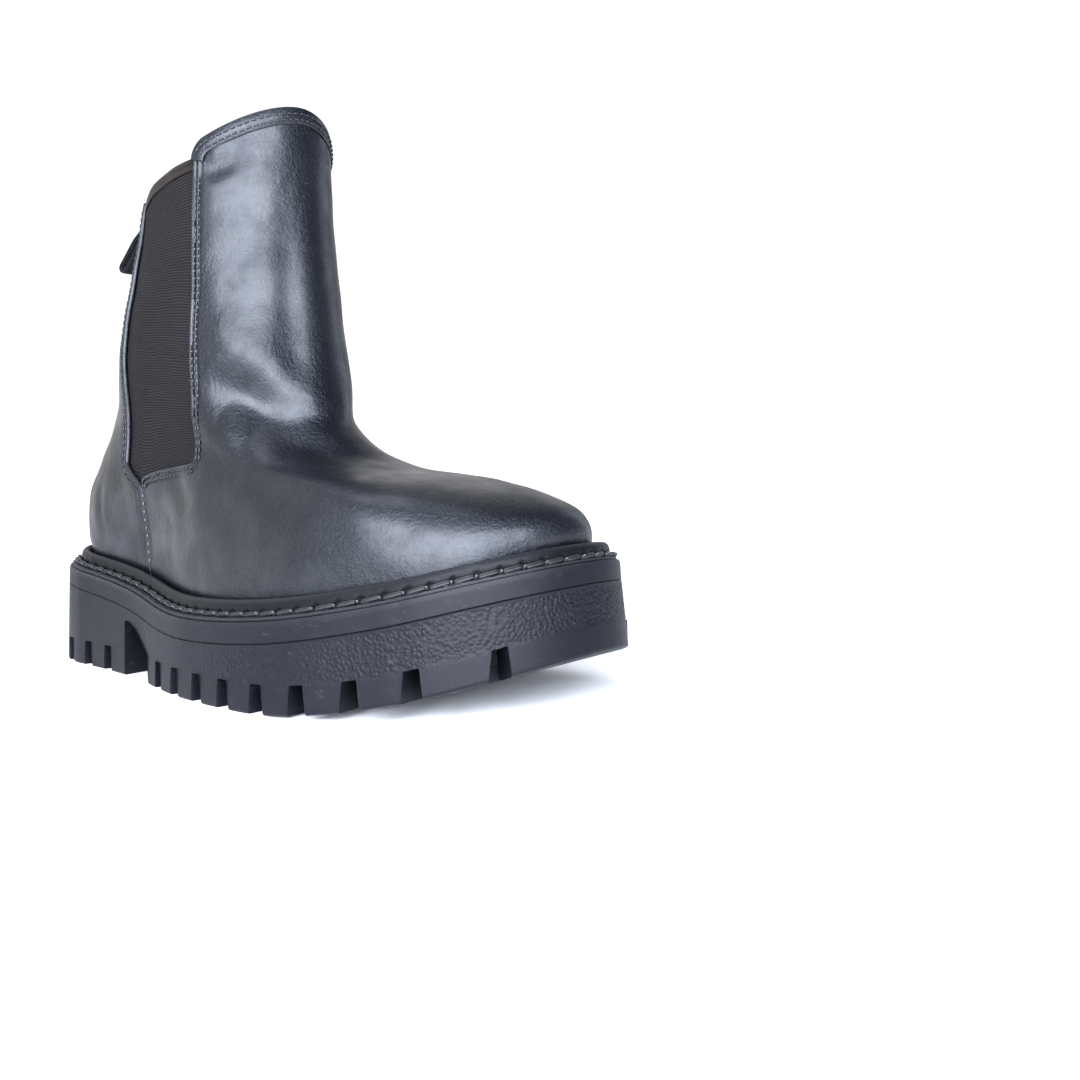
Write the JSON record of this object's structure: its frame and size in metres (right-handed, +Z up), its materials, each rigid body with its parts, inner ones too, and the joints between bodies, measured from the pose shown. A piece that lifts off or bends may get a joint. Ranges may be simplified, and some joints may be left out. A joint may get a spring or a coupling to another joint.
{
  "type": "chelsea boot",
  "caption": "Slip-on ankle boot with a one-piece leather vamp, elastic side gores, a heel pull tab and a thick lugged sole with a stitched storm welt.",
  "frame": {"origin": "centre of the boot's footprint on the ground", "axes": "+Z up, toe towards -Y, heel towards +Y, outer side of the foot towards -X (a right boot)"},
  "size_m": [0.1248, 0.3048, 0.24],
  "materials": {
    "sole_rubber": "matte grey-black moulded rubber with a fine pebble",
    "welt_rubber": "satin black moulded strip",
    "welt_thread": "thick waxed black thread",
    "leather": "smooth black satin leather with soft creases",
    "elastic": "charcoal elastic with fine ribs across",
    "gore_tape": "thin folded brown-black tape",
    "binding": "folded leather edge",
    "webbing": "black woven webbing",
    "thread": "tonal black sewing thread",
    "lining": "taupe textile lining",
    "footbed_cloth": "textile-covered foam",
    "board": "pressed fibre board",
    "filler": "cork and fibre filler",
    "stiffener": "stiffened non-woven",
    "shank_steel": "sprung steel strip"
  },
  "bodies": {
    "boot": {"outsole": "sole_rubber", "shank": "shank_steel", "bottom_filler": "filler", "insole_board": "board", "footbed": "footbed_cloth", "storm_welt": "welt_rubber", "welt_thread": "welt_thread", "vamp": "leather", "quarter_lateral": "leather", "quarter_medial": "leather", "gore_lateral": "elastic", "gore_medial": "elastic", "gore_tape_lateral": "gore_tape", "gore_tape_medial": "gore_tape", "toe_puff": "stiffener", "heel_counter": "stiffener", "vamp_lining": "lining", "quarter_lining": "lining", "top_binding": "binding", "back_strap": "webbing", "gore_thread_lateral": "thread", "gore_thread_medial": "thread", "side_seam_thread_lateral": "thread", "side_seam_thread_medial": "thread"},
    "pull_tab": {"pull_tab": "webbing"}
  },
  "joints": [
    {"name": "pull_tab_swing", "type": "hinge", "parent": "boot", "child": "pull_tab", "pos_m": [0.0047, 0.0961, 0.207], "axis": [1, 0, 0], "range_deg": [-25, 130]}
  ]
}
